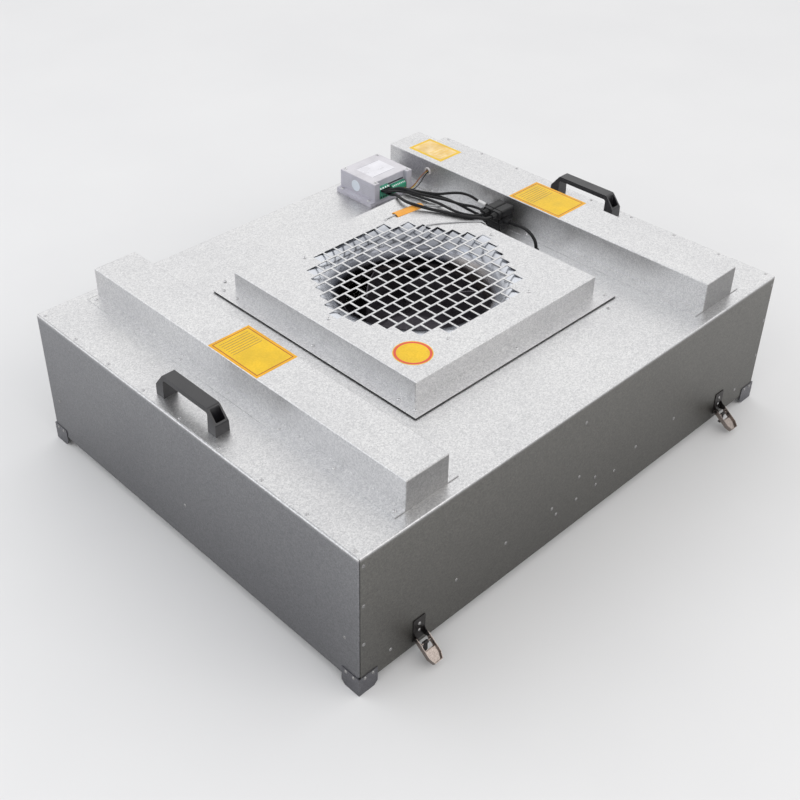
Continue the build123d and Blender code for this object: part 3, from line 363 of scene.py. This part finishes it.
# %% Finishes by slot
LID_EDGE = (corners_of("controller_lid")[1].z - 2) * MM
finishes = {
    "housing_steel": sheet_finish,
    "spun_aluminium": spun_metal(),
    "extruded_aluminium": grained("drawn_aluminium", (0.60, 0.61, 0.62), (0.76, 0.76, 0.77),
                                  260, 0.00004, (0.3, 0.42), 1.0, (0.06, 0.06, 1)),
    "impeller_metal": grained("fan_wheel_metal", (0.085, 0.078, 0.090), (0.150, 0.138, 0.158),
                              320, 0.00008, (0.34, 0.5), 0.6),
    "motor_casting": grained("motor_paint", (0.035, 0.036, 0.038), (0.060, 0.060, 0.062),
                             700, 0.00015, (0.45, 0.6)),
    "guard_white": grained("powder_white", (0.72, 0.73, 0.72), (0.80, 0.80, 0.79),
                           900, 0.00012, (0.4, 0.52)),
    "filter_paper": grained("glass_paper", (0.78, 0.78, 0.76), (0.88, 0.88, 0.87),
                            1500, 0.0002, (0.85, 0.95), 0.0, (1, 1, 0.25)),
    "foam": grained("cell_foam", (0.012, 0.012, 0.013), (0.035, 0.035, 0.036),
                    1400, 0.0004, (0.85, 0.95)),
    "handle_plastic": grained("moulded_nylon", (0.008, 0.008, 0.010), (0.018, 0.017, 0.020),
                              1300, 0.00016, (0.3, 0.42), gloss=0.6),
    # Painted shade: the controller's walls below the lid edge are darker and cooler than its lid.
    "controller_plastic": grained("pale_abs", (0.63, 0.61, 0.63), (0.69, 0.67, 0.69),
                                  1100, 0.0001, (0.42, 0.55), painted_shade=(LID_EDGE, (0.69, 0.70, 0.76))),
    "terminal_plastic": grained("terminal_green", (0.028, 0.25, 0.15), (0.045, 0.34, 0.21),
                                900, 0.00005, (0.3, 0.42)),
    "grommet_plastic": grained("pale_rubber", (0.48, 0.46, 0.46), (0.60, 0.58, 0.57),
                               900, 0.0001, (0.5, 0.65)),
    "black_plastic": grained("plug_plastic", (0.006, 0.006, 0.007), (0.014, 0.014, 0.015),
                             1000, 0.0001, (0.34, 0.5), gloss=0.3),
    # Painted shade: rivets and screws below the top bend are darker than those on top.
    "bright_zinc": grained("bright_zinc", (0.50, 0.50, 0.51), (0.86, 0.86, 0.86), 900, 0.00004,
                           (0.2, 0.36), 1.0, painted_shade=(TOP_BEND, (0.45, 0.445, 0.44))),
    "latch_base_steel": grained("black_oxide", (0.022, 0.020, 0.020), (0.050, 0.046, 0.045),
                                700, 0.00006, (0.3, 0.45), 0.8),
    "latch_lever_steel": grained("latch_nickel", (0.21, 0.18, 0.165), (0.34, 0.295, 0.27),
                                 420, 0.00003, (0.16, 0.3), 1.0),
    "cable_black": grained("cable_jacket", (0.004, 0.004, 0.005), (0.009, 0.009, 0.010),
                           1600, 0.00006, (0.34, 0.46), gloss=0.25),
    "wire_brown": grained("brown_insulation", (0.16, 0.045, 0.020), (0.24, 0.075, 0.035),
                          1600, 0.00004, (0.3, 0.4)),
    "wire_yellow": grained("yellow_insulation", (0.62, 0.50, 0.05), (0.74, 0.62, 0.10),
                           1600, 0.00004, (0.3, 0.4)),
    "wire_grey": grained("grey_insulation", (0.42, 0.43, 0.44), (0.56, 0.56, 0.57),
                         1600, 0.00004, (0.32, 0.42)),
    "tag_paper": grained("orange_card", (0.78, 0.32, 0.035), (0.88, 0.42, 0.06),
                         1200, 0.00006, (0.5, 0.65)),
}
own_sheets = {"top_cover": cover_finish, "side_panel_left": panel_finish,
              "side_panel_right": panel_finish, "ridge_cover_left": ridge_finish,
              "ridge_cover_right": ridge_finish}
for name, node in nodes.items():
    for held in node.material_slots:
        held.material = own_sheets.get(name) or finishes[held.material.name.split(".")[0]]
print("finishes:", len(finishes), "and own sheets for", list(own_sheets))

# %% [markdown]
# ## Rivets
#
# Thin sheet is joined with blind rivets: a low dome with a flat lip, and in its middle the hole where
# the pulling pin broke off. One profile turned round its axis makes the head, and each head is placed
# by a matrix that also turns it to face out of its sheet. The rows are written down for one half of
# the top and for one wall of each kind, and mirrored. All heads go into one mesh, because they never
# move apart.

# %% Rivet head and rows
RIVET_PROFILE = [(3.7, 0.0), (3.6, 0.3), (3.1, 0.8), (2.1, 1.15), (1.2, 1.2), (1.0, 0.75), (0.0, 0.65)]


def turn_profile(bm, profile, place, segments=16, index=0):
    """A turned form in millimetres, placed by a matrix in metres."""
    loops = []
    for radius, height in profile:
        count = segments if radius > 0 else 1
        loops.append([bm.verts.new(place @ metres(radius * math.cos(math.tau * step / segments),
                                                  radius * math.sin(math.tau * step / segments),
                                                  height))
                      for step in range(count)])
    for outer, inner in zip(loops, loops[1:]):
        for step in range(segments):
            after = (step + 1) % segments
            corners = [outer[step % len(outer)], outer[after % len(outer)],
                       inner[after % len(inner)], inner[step % len(inner)]]
            face = bm.faces.new(list(dict.fromkeys(corners)))
            face.smooth = True
            face.material_index = index


def facing(x, y, z, direction="up"):
    """A place in millimetres with its local Z turned to a side of the box."""
    turns = {"up": Matrix.Identity(4),
             "front": Matrix.Rotation(math.radians(90), 4, "X"),
             "back": Matrix.Rotation(math.radians(-90), 4, "X"),
             "left": Matrix.Rotation(math.radians(-90), 4, "Y"),
             "right": Matrix.Rotation(math.radians(90), 4, "Y")}
    return Matrix.Translation(metres(x, y, z)) @ turns[direction]


def evenly(first, last, count):
    """Evenly spaced numbers from first to last."""
    return [first + (last - first) * step / (count - 1) for step in range(count)]


COVER_ROW = [(577.5, y, TOP) for y in evenly(-444, 444, 9)]
RIDGE_ROWS = [(x, y, RIDGE_FLANGE) for x in (349, 473) for y in evenly(-423, 423, 7)]
WALL_EDGES = [(x, z) for x in (-577, 577) for z in (116, 204, 291)]
DECK_ROW = [(x, 107) for x in evenly(-360, 277.3, 6)]
BRACE_RIVETS = [(x, 84.5) for x in (-90.4, -31, 28, 85.5)] + [(-30, z) for z in (139, 266)]
LATCH_SIDE_RIVETS = [(-516, 56), (514, 56)]
PANEL_ROW = [(y, 113) for y in (-428, 0, 428)]

rivet_places = [facing(side * x, y, z) for side in (-1, 1) for x, y, z in COVER_ROW + RIDGE_ROWS]
for wall, turn in ((-LONG_WALL, "front"), (LONG_WALL, "back")):
    rivet_places += [facing(x, wall, z, turn)
                     for x, z in WALL_EDGES + DECK_ROW + BRACE_RIVETS + LATCH_SIDE_RIVETS]
for wall, turn in ((-END_WALL, "left"), (END_WALL, "right")):
    rivet_places += [facing(wall, y, z, turn) for y, z in PANEL_ROW]

rivets = bmesh.new()
for place in rivet_places:
    turn_profile(rivets, RIVET_PROFILE, place)
mesh_piece("sheet_rivets", rivets, [finishes["bright_zinc"]])
print("rivets:", len(rivet_places))

# %% [markdown]
# ## Screw drives
#
# The pan heads of the machine screws are in the CAD model. Their cross drives are only a shade in
# the head at this size, so each is a thin dark cross that lies just over the flat of the head. The
# screws hold the inlet's flange, the inlet ring, the cover, the controller with its lid, and the
# handles, whose screws stand in pockets. A group often has one screw in each corner.

# %% Cross drives
drive_finish = grained("drive_shadow", (0.03, 0.03, 0.03), (0.07, 0.07, 0.07), 900, 0.00005,
                       (0.4, 0.5), 0.6)
CORNERS = [(x, y) for x in (-1, 1) for y in (-1, 1)]
FLANGE_EDGE, FLANGE_PITCH, RING_SCREWS = 269.5, 228, 229.2
BOX_LEFT, LID_TOP = corners_of("controller_lid")[0].x, corners_of("controller_lid")[1].z
BOX_X, BOX_Y, _ = (corners_of("controller_lid")[0] + corners_of("controller_lid")[1]) / 2
FOOT_TOP, POCKET_FLOOR = TOP + 9.5, TOP + 14

screw_seats = [(x * FLANGE_EDGE, y * across, PANEL_FLANGE)
               for across in (FLANGE_EDGE, FLANGE_PITCH) for x, y in CORNERS]
screw_seats += [(x * FLANGE_EDGE, y * FLANGE_EDGE, PANEL_FLANGE)
                for x, y in ((-1, 0), (1, 0), (0, -1), (0, 1))]
screw_seats += [(RING_SCREWS * math.cos(turn), RING_SCREWS * math.sin(turn), PANEL_TOP)
                for turn in (math.tau * step / 6 for step in range(6))]
screw_seats += [(-243.5, 300, TOP), (241, -300, TOP)]
screw_seats += [(BOX_X + 65 * x, BOX_Y + 43 * y, FOOT_TOP) for x, y in CORNERS]
screw_seats += [(BOX_X + 50.5 * x, BOX_Y + 49 * y, LID_TOP) for x, y in CORNERS]
screw_seats += [(550 * x, 75 * y, POCKET_FLOOR) for x, y in CORNERS]


def box_between(bm, low, high, index=0):
    """A box between two corners in millimetres, with its edges just broken."""
    made = bmesh.ops.create_cube(bm, size=1.0)["verts"]
    for corner in made:
        corner.co = Vector([(a + b) / 2 + c * (b - a) for a, b, c in zip(low, high, corner.co)]) * MM
    edges = list({edge for corner in made for edge in corner.link_edges})
    width = min(b - a for a, b in zip(low, high)) * 0.12 * MM
    bevelled = bmesh.ops.bevel(bm, geom=edges, offset=width, segments=1, affect="EDGES")
    for face in {face for corner in bevelled["verts"] for face in corner.link_faces}:
        face.material_index = index


ARM, HALF_WIDTH, HEAD_FLAT, DRIVE_TOP = 1.8, 0.35, 2.1, 2.26
drives = bmesh.new()
for x, y, seat in screw_seats:
    for along, across in ((ARM, HALF_WIDTH), (HALF_WIDTH, ARM)):
        box_between(drives, (x - along, y - across, seat + HEAD_FLAT),
                    (x + along, y + across, seat + DRIVE_TOP))
mesh_piece("screw_drives", drives, [drive_finish])
print("screws:", len(screw_seats))

# %% [markdown]
# ## Labels
#
# Yellow vinyl labels lie on the two ridges and on the inlet. A label is one thin sheet, so it is
# built as one sheet too: breaks along both sides cut it into cells, and each cell takes the ink that
# lies there. No two faces lie on each other, which keeps the print clean in any viewer.

# %% Label helpers
vinyl = grained("yellow_vinyl", (0.71, 0.44, 0.010), (0.80, 0.52, 0.022), 260, 0.00003, (0.3, 0.44),
                gloss=0.25)
margin = grained("orange_vinyl", (0.72, 0.35, 0.006), (0.80, 0.41, 0.012), 260, 0.00003, (0.3, 0.44),
                 gloss=0.25)
keyline = grained("orange_ink", (0.34, 0.09, 0.010), (0.42, 0.12, 0.018), 700, 0.00003, (0.28, 0.4),
                  gloss=0.25)
faded = grained("faded_vinyl", (0.70, 0.44, 0.10), (0.84, 0.66, 0.36), 40, 0.00003, (0.3, 0.45),
                gloss=0.3)
RULE_WIDTH = 1.3
red_ink = grained("red_ink", (0.60, 0.045, 0.02), (0.70, 0.07, 0.03), 700, 0.00003, (0.28, 0.4))


def tiled_label(name, x_breaks, y_breaks, z, ink_of, inks, thickness=0.15):
    """A flat sheet of cells in millimetres; ink_of(column, row) names the ink of a cell."""
    bm = bmesh.new()
    grid = [[bm.verts.new(metres(x, y, z + thickness)) for x in x_breaks] for y in y_breaks]
    for row in range(len(y_breaks) - 1):
        for column in range(len(x_breaks) - 1):
            face = bm.faces.new((grid[row][column], grid[row][column + 1],
                                 grid[row + 1][column + 1], grid[row + 1][column]))
            face.material_index = ink_of(column, row)
    rim = [edge for edge in bm.edges if edge.is_boundary]
    grown = bmesh.ops.extrude_edge_only(bm, edges=rim)["geom"]
    for corner in (item for item in grown if isinstance(item, bmesh.types.BMVert)):
        corner.co.z -= thickness * MM
    bmesh.ops.recalc_face_normals(bm, faces=bm.faces)
    return mesh_piece(name, bm, inks)


def ruled_label(name, x_low, x_high, y_low, y_high, z, inks, rules=()):
    """A label with a keyline inside its edge and short printed rules across it."""
    outer, inner, indent = 5, 7, 14
    columns = [x_low, x_low + outer, x_low + inner, x_low + indent,
               x_high - indent, x_high - inner, x_high - outer, x_high]
    bars = [level for rule in rules for level in (rule, rule + RULE_WIDTH)]
    rows = [y_low, y_low + outer, y_low + inner, *bars, y_high - inner, y_high - outer, y_high]
    last_column, last_row = len(columns) - 2, len(rows) - 2

    def ink_of(column, row):
        if column in (0, last_column) or row in (0, last_row):
            return 0
        if column in (1, last_column - 1) or row in (1, last_row - 1):
            return 1
        return 2 if column == 3 and rows[row] in rules else 3

    return tiled_label(name, columns, rows, z, ink_of, inks)


# %% [markdown]
# The ridge labels take up nearly the whole width of the ridge. Each has an orange margin, a dark
# keyline and a few plain rules in place of text. One on the right-hand ridge is older than the others
# and has paled. The round one lies on the raised inlet, near its corner.

# %% Lay the labels
rule_ink = grained("brown_ink", (0.22, 0.10, 0.02), (0.30, 0.14, 0.03), 500, 0.00003, (0.3, 0.4))
ruled_label("ridge_label_left", -459, -365, -70, 68, RIDGE_TOP, [margin, keyline, rule_ink, vinyl],
            evenly(12, 52, 7))
ruled_label("ridge_label_right", 365, 459, -69, 69, RIDGE_TOP, [margin, keyline, rule_ink, vinyl],
            evenly(12, 52, 7))
ruled_label("ridge_label_back", 379, 450, 287, 389, RIDGE_TOP, [vinyl, vinyl, vinyl, faded],
            evenly(305, 335, 4))


def round_label(name, place, rings, inks, segments=64, thickness=0.15):
    """A disc of rings from the rim to the middle: each ring is an outer radius and an ink."""
    bm = bmesh.new()
    for (radius, ink), inner in zip(rings, [radius for radius, _ in rings[1:]] + [0.0]):
        turn_profile(bm, [(radius, thickness), (inner, thickness)], place, segments, ink)
    outer = rings[0][0]
    turn_profile(bm, [(outer, 0), (outer, thickness)], place, segments, rings[0][1])
    bmesh.ops.remove_doubles(bm, verts=bm.verts, dist=1e-6)
    for face in bm.faces:
        face.smooth = False
    return mesh_piece(name, bm, inks)


round_label("inlet_label", facing(-193.5, -187.2, PANEL_TOP),
            [(37.3, 0), (35.6, 1), (30.6, 0)], [vinyl, red_ink])

# %% [markdown]
# ## The controller's small parts
#
# The speed controller is a pale moulded box. Its terminals are green blocks: on every way a screw
# clamps one wire, and below it is the dark mouth where the wire goes in. Between the ways are thin
# walls. Each block is given by its left end from the middle of the box, its width, its height and its
# number of ways.

# %% Terminal ways
BLOCK_FRONT, BLOCK_FOOT = corners_of("controller_terminals")[0].yz
BLOCKS = ((-41.5, 30.0, 27.0, 4), (-10.5, 6.0, 12.0, 1), (-1.5, 42.5, 20.0, 8))
mouth_finish = grained("mouth_shadow", (0.004, 0.006, 0.005), (0.008, 0.012, 0.010), 900,
                       0.00005, (0.6, 0.7))

ways = bmesh.new()
for left, wide, height, count in BLOCKS:
    pitch_of_way = wide / count
    for way in range(count):
        x = BOX_X + left + pitch_of_way * (way + 0.5)
        half = pitch_of_way * 0.32
        box_between(ways, (x - half, BLOCK_FRONT - 0.25, BLOCK_FOOT + 1.5),
                    (x + half, BLOCK_FRONT + 0.05, BLOCK_FOOT + 1.5 + 2 * half), 1)
        slope = facing(x, BLOCK_FRONT + 2.4, BLOCK_FOOT + height - 2.45)
        slope = slope @ Matrix.Rotation(math.radians(45), 4, "X")
        turn_profile(ways, [(half, 0), (half, 0.5), (half * 0.8, 0.7), (0, 0.7)], slope, 12, 0)
    for wall in range(count + 1):
        x = BOX_X + left + pitch_of_way * wall
        x = min(max(x, BOX_X + left + 0.3), BOX_X + left + wide - 0.3)
        box_between(ways, (x - 0.3, BLOCK_FRONT - 0.5, BLOCK_FOOT + 0.3),
                    (x + 0.3, BLOCK_FRONT + 0.1, BLOCK_FOOT + height - 5.2), 2)
mesh_piece("terminal_ways", ways, [finishes["bright_zinc"], mouth_finish,
                                   finishes["terminal_plastic"]])

# %% [markdown]
# The controller also has a plain plate on its lid, and on its side a round sticker between two fields
# of fine raised rules. The plate and the sticker are labels, so the label helpers make them too.

# %% Plates on the controller
plate_ink = grained("lid_plate", (0.69, 0.68, 0.72), (0.75, 0.74, 0.78), 900, 0.00003, (0.25, 0.35))
grey_ink = grained("grey_ink", (0.36, 0.36, 0.40), (0.44, 0.44, 0.47), 900, 0.00003, (0.3, 0.4))
tiled_label("lid_plate", [BOX_X - 36, BOX_X - 34.5, BOX_X + 34.5, BOX_X + 36],
            [BOX_Y - 26, BOX_Y - 24.5, BOX_Y + 28.5, BOX_Y + 30], LID_TOP,
            lambda column, row: 1 if column == 1 and row in (0, 2) else 0, [plate_ink, grey_ink])
sticker_ink = grained("side_sticker", (0.62, 0.68, 0.74), (0.70, 0.76, 0.82), 600, 0.00003, (0.25, 0.4))
round_label("controller_sticker", facing(BOX_LEFT, 385, 338, "left"),
            [(14.5, 1), (13.5, 0)], [sticker_ink, grey_ink], 40)
side_rules = bmesh.new()
for level in evenly(327, 349, 6):
    for y_low, y_high in ((338, 366), (404, 426)):
        box_between(side_rules, (BOX_LEFT - 0.15, y_low, level), (BOX_LEFT + 0.1, y_high, level + 1.2))
mesh_piece("controller_rules", side_rules, [grey_ink])

# %% [markdown]
# ## Cables
#
# A cable is a fixed length of something springy, so it bends in wide, even curves. A NURBS curve does
# the same: it is pulled towards its control points without passing through sharp corners. The points
# are those of the cable's run on the drawing. Its order is set after its points are there, because a
# curve of two points cannot hold it.

# %% Cable helper


def lay_cable(node, finish, diameter, length, route):
    """A round cable along a route in millimetres, in place of its plain solid."""
    curve = bpy.data.curves.new(node, "CURVE")
    curve.dimensions = "3D"
    spline = curve.splines.new("NURBS")
    spline.points.add(len(route) - 1)
    for point, place in zip(spline.points, route):
        point.co = (*metres(*place), 1.0)
    spline.order_u = 3
    spline.use_endpoint_u = True
    spline.resolution_u = 12
    line = bpy.data.objects.new(node + "_line", curve)
    run = [vertex.co.copy() for vertex in bpy.data.meshes.new_from_object(line).vertices]
    bpy.data.objects.remove(line)
    measured = sum((b - a).length for a, b in zip(run, run[1:]))
    curve.bevel_depth = diameter / 2 * MM
    curve.bevel_resolution = 4
    curve.use_fill_caps = True
    curve.materials.append(finish)
    cord = bpy.data.objects.new(node + "_cord", curve)
    bpy.context.scene.collection.objects.link(cord)
    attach(cord, "housing")
    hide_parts(node)
    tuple(run[0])
    print(node, "runs", round(measured / MM, 1), "mm of", length)
    return run


# %% [markdown]
# Five black cables leave the controller. Two go over the inlet panel to plugs that lie across the
# heap, one feeds the fan through a coupler, one ends in the plug beside it and one goes down to the
# plug at the bottom. From the coupler the motor's own cable goes down into its gland.

# %% Black cables
jacket = finishes["cable_black"]
lay_cable("cable_supply", jacket, 7.0, 325, [
    (236, 322, 333), (236, 307, 333), (222, 284, 345), (206, 258, 362.5), (196, 231, 365),
    (193, 210, 365.5), (198, 189, 365.5), (208, 167, 362.5), (220, 143, 361), (231, 114, 361),
    (240, 91, 361), (250, 71, 361), (262, 59, 360.5), (276, 52, 355), (290, 52, 355)])
lay_cable("cable_control", jacket, 6.0, 282, [
    (224, 322, 341), (224, 309, 341), (225, 287, 353), (228, 262, 361), (234, 232, 361),
    (239, 203, 361), (242, 178, 362.5), (242, 156, 364), (243, 134, 362), (245, 113, 360.6),
    (249, 95, 360.6), (258, 80, 360.4), (274, 74.5, 355), (290, 74.5, 355)])
lay_cable("cable_fan_feed", jacket, 6.0, 266, [
    (231, 322, 341), (231, 309, 341), (231, 287, 357), (231, 262, 368), (231, 234, 369),
    (237, 206, 369), (255, 180, 365.5), (283, 168, 352.5), (309, 153, 338.5),
    (325, 132, 337), (325, 110, 337)])
loop_run = lay_cable("cable_loop", jacket, 6.0, 265, [
    (238, 322, 341), (238, 309, 341), (239, 289, 353), (243, 263, 361), (255, 230, 361),
    (274, 197, 360.6), (296, 183, 361), (321, 173, 357), (341, 158, 348), (349, 137, 337),
    (349, 110, 337)])
lay_cable("cable_side", jacket, 6.0, 238, [
    (245, 322, 341), (245, 306, 341), (251, 285, 346), (263, 258, 350), (273, 232, 350),
    (284, 204, 350.5), (300, 180, 342.5), (316, 160, 331), (329, 137, 319), (329, 110, 319)])
lay_cable("cable_motor", jacket, 7.0, 124, [
    (325, 30, 337), (325, 18, 337), (321, -4, 343), (314, -26, 347), (308, -46, 345),
    (304.2, -64, 331), (304.2, -64, 307.6)])

# %% [markdown]
# A white shrink sleeve closes the loop cable just before its plug. It has to follow the cable, so its
# rings stand on the points of the cable's own line, each turned to face along it.

# %% Shrink sleeve
sleeve_finish = grained("white_sleeve", (0.66, 0.66, 0.66), (0.78, 0.78, 0.78), 900, 0.00004, (0.3, 0.4))


def sleeve_on(name, run, first, last, radius, finish, sides=16):
    """A short tube over a cable, between two distances in millimetres from its far end."""
    bm = bmesh.new()
    rings, walked = [], 0.0
    for here, onward in zip(run[::-1], run[-2::-1]):
        if first <= walked / MM <= last:
            turn = (onward - here).to_track_quat("Z", "Y").to_matrix()
            rings.append([bm.verts.new(here + turn @ metres(
                radius * math.cos(math.tau * step / sides), radius * math.sin(math.tau * step / sides), 0))
                for step in range(sides)])
        walked += (onward - here).length
    for near, far in zip(rings, rings[1:]):
        for step in range(sides):
            after = (step + 1) % sides
            bm.faces.new((near[step], near[after], far[after], far[step])).smooth = True
    bm.faces.new(rings[0])
    bm.faces.new(rings[-1][::-1])
    bmesh.ops.recalc_face_normals(bm, faces=bm.faces)
    return mesh_piece(name, bm, [finish])


sleeve_on("loop_sleeve", loop_run, 4, 30, 4.4, sleeve_finish)

# %% [markdown]
# The thin wires are limp. Three come out of the ridge through a grommet and go to the long terminal
# block. Two grey ones carry the earth: one from a screw of the inlet ring, past a folded tag, and one
# from the bellmouth, both to one earth screw on the flange.

# %% Thin wires
lay_cable("wire_brown", finishes["wire_brown"], 2.4, 103, [
    (369.3, 312, 347.5), (359.1, 312, 347.5), (340, 308, 344), (319, 303, 337),
    (300, 300, 330), (287, 306, 326), (285, 314, 325), (285, 322, 325)])
lay_cable("wire_black", jacket, 2.4, 100, [
    (369.3, 309.7, 343.7), (359.1, 309.7, 343.7), (341, 304, 339), (322, 298, 331),
    (304, 297, 325), (293, 304, 323), (291.5, 313, 322.5), (291.5, 322, 322.5)])
lay_cable("wire_yellow", finishes["wire_yellow"], 2.4, 86, [
    (369.3, 314.3, 343.7), (359.1, 314.3, 343.7), (342, 314, 338), (326, 311, 329),
    (311, 307, 323.5), (301, 309, 322.5), (298, 315, 322.5), (298, 322, 322.5)])
lay_cable("wire_earth", finishes["wire_grey"], 2.4, 222, [
    (118.6, 198.5, 358.25), (142, 198.6, 358.25), (181, 195.5, 358.25), (218, 190.8, 358.25),
    (231, 171, 358.25), (246, 155, 358.25), (262, 149, 358.25), (269, 146, 342),
    (270.5, 140, 326), (269.5, 128, 315.7), (269.5, 114, 315.7)])
lay_cable("wire_bond", finishes["wire_grey"], 2.6, 242, [
    (140, 113, 350.8), (150, 120, 355.5), (162, 119, 359.35), (177, 112, 358.35),
    (194, 101, 358.35), (219, 83, 358.35), (242, 65, 358.35), (260, 47, 358.35),
    (267, 42, 342), (269.5, 46, 326), (269.5, 60, 315.9), (270.5, 82, 315.9),
    (269.5, 106, 315.9)])

# %% [markdown]
# ## Floor, light and air
#
# The unit stands on a plain pale floor. Coated steel shows what it reflects, so the sky matters more
# than the lamps: a world that is bright above and dimmer near the horizon makes the top sheet
# nearly white, and together with the painted shade on the sheet it leaves the walls grey. Two wide soft
# lamps give the shadows their sides: a cool one at the back of the left side, and a warm one at the front.

# %% Floor
floor_mesh = bmesh.new()
bmesh.ops.create_circle(floor_mesh, cap_ends=True, segments=96, radius=14.0)
floor_data = bpy.data.meshes.new("studio_floor")
floor_mesh.to_mesh(floor_data)
floor_mesh.free()
floor = bpy.data.objects.new("studio_floor", floor_data)
floor_finish, floor_tree, floor_shader = new_finish("pale_floor", roughness=0.9)
floor_tone = ramp_of(floor_tree, grain_of(floor_tree, place_of(floor_tree), 2.0),
                     (0.3, (0.70, 0.70, 0.704)), (0.7, (0.72, 0.72, 0.722)))
floor_tree.links.new(floor_tone, floor_shader.inputs["Base Color"])
floor_shader.inputs["Specular IOR Level"].default_value = 0.1
floor_data.materials.append(floor_finish)
floor.location.z = -0.0005
bpy.context.scene.collection.objects.link(floor)
print("floor laid")

# %% [markdown]
# The sky is a ramp over the height of each direction: dim at the horizon, brightest at a low slant,
# and a little darker straight up. An area lamp gives the softer light the larger it is, so both lamps
# are over two metres wide. They are turned to look at the unit from where they hang.

# %% Sky and lamps
world = bpy.data.worlds.new("studio_sky")
bpy.context.scene.world = world
world.use_nodes = True
sky_tree = world.node_tree
direction = add_node(sky_tree, "ShaderNodeTexCoord").outputs["Generated"]
height = add_node(sky_tree, "ShaderNodeSeparateXYZ", {"Vector": direction}).outputs["Z"]
sky = ramp_of(sky_tree, height, (0.0, (0.16, 0.16, 0.17)), (0.14, (0.42, 0.42, 0.43)),
              (0.33, (1.0, 1.0, 1.0)), (0.62, (0.97, 0.97, 0.97)), (0.95, (0.52, 0.52, 0.53)))
background = sky_tree.nodes["Background"]
sky_tree.links.new(sky, background.inputs["Color"])
background.inputs["Strength"].default_value = 1.42

for name, place, watts, tint in (("cool_lamp", (-2.2, 1.6, 2.6), 14.0, (0.86, 0.92, 1.0)),
                                 ("warm_lamp", (0.3, -2.4, 2.5), 15.0, (1.0, 0.96, 0.91))):
    lamp_data = bpy.data.lights.new(name, "AREA")
    lamp_data.shape = "RECTANGLE"
    lamp_data.size = 2.6
    lamp_data.size_y = 2.0
    lamp_data.energy = watts
    lamp_data.color = tint
    lamp = bpy.data.objects.new(name, lamp_data)
    lamp.location = place
    lamp.rotation_euler = (Vector((0, 0, 0.2)) - lamp.location).to_track_quat("-Z", "Y").to_euler()
    bpy.context.scene.collection.objects.link(lamp)
    print(name, watts, "W")
bpy.context.scene.view_settings.view_transform = "Standard"
print("sky strength:", background.inputs["Strength"].default_value)
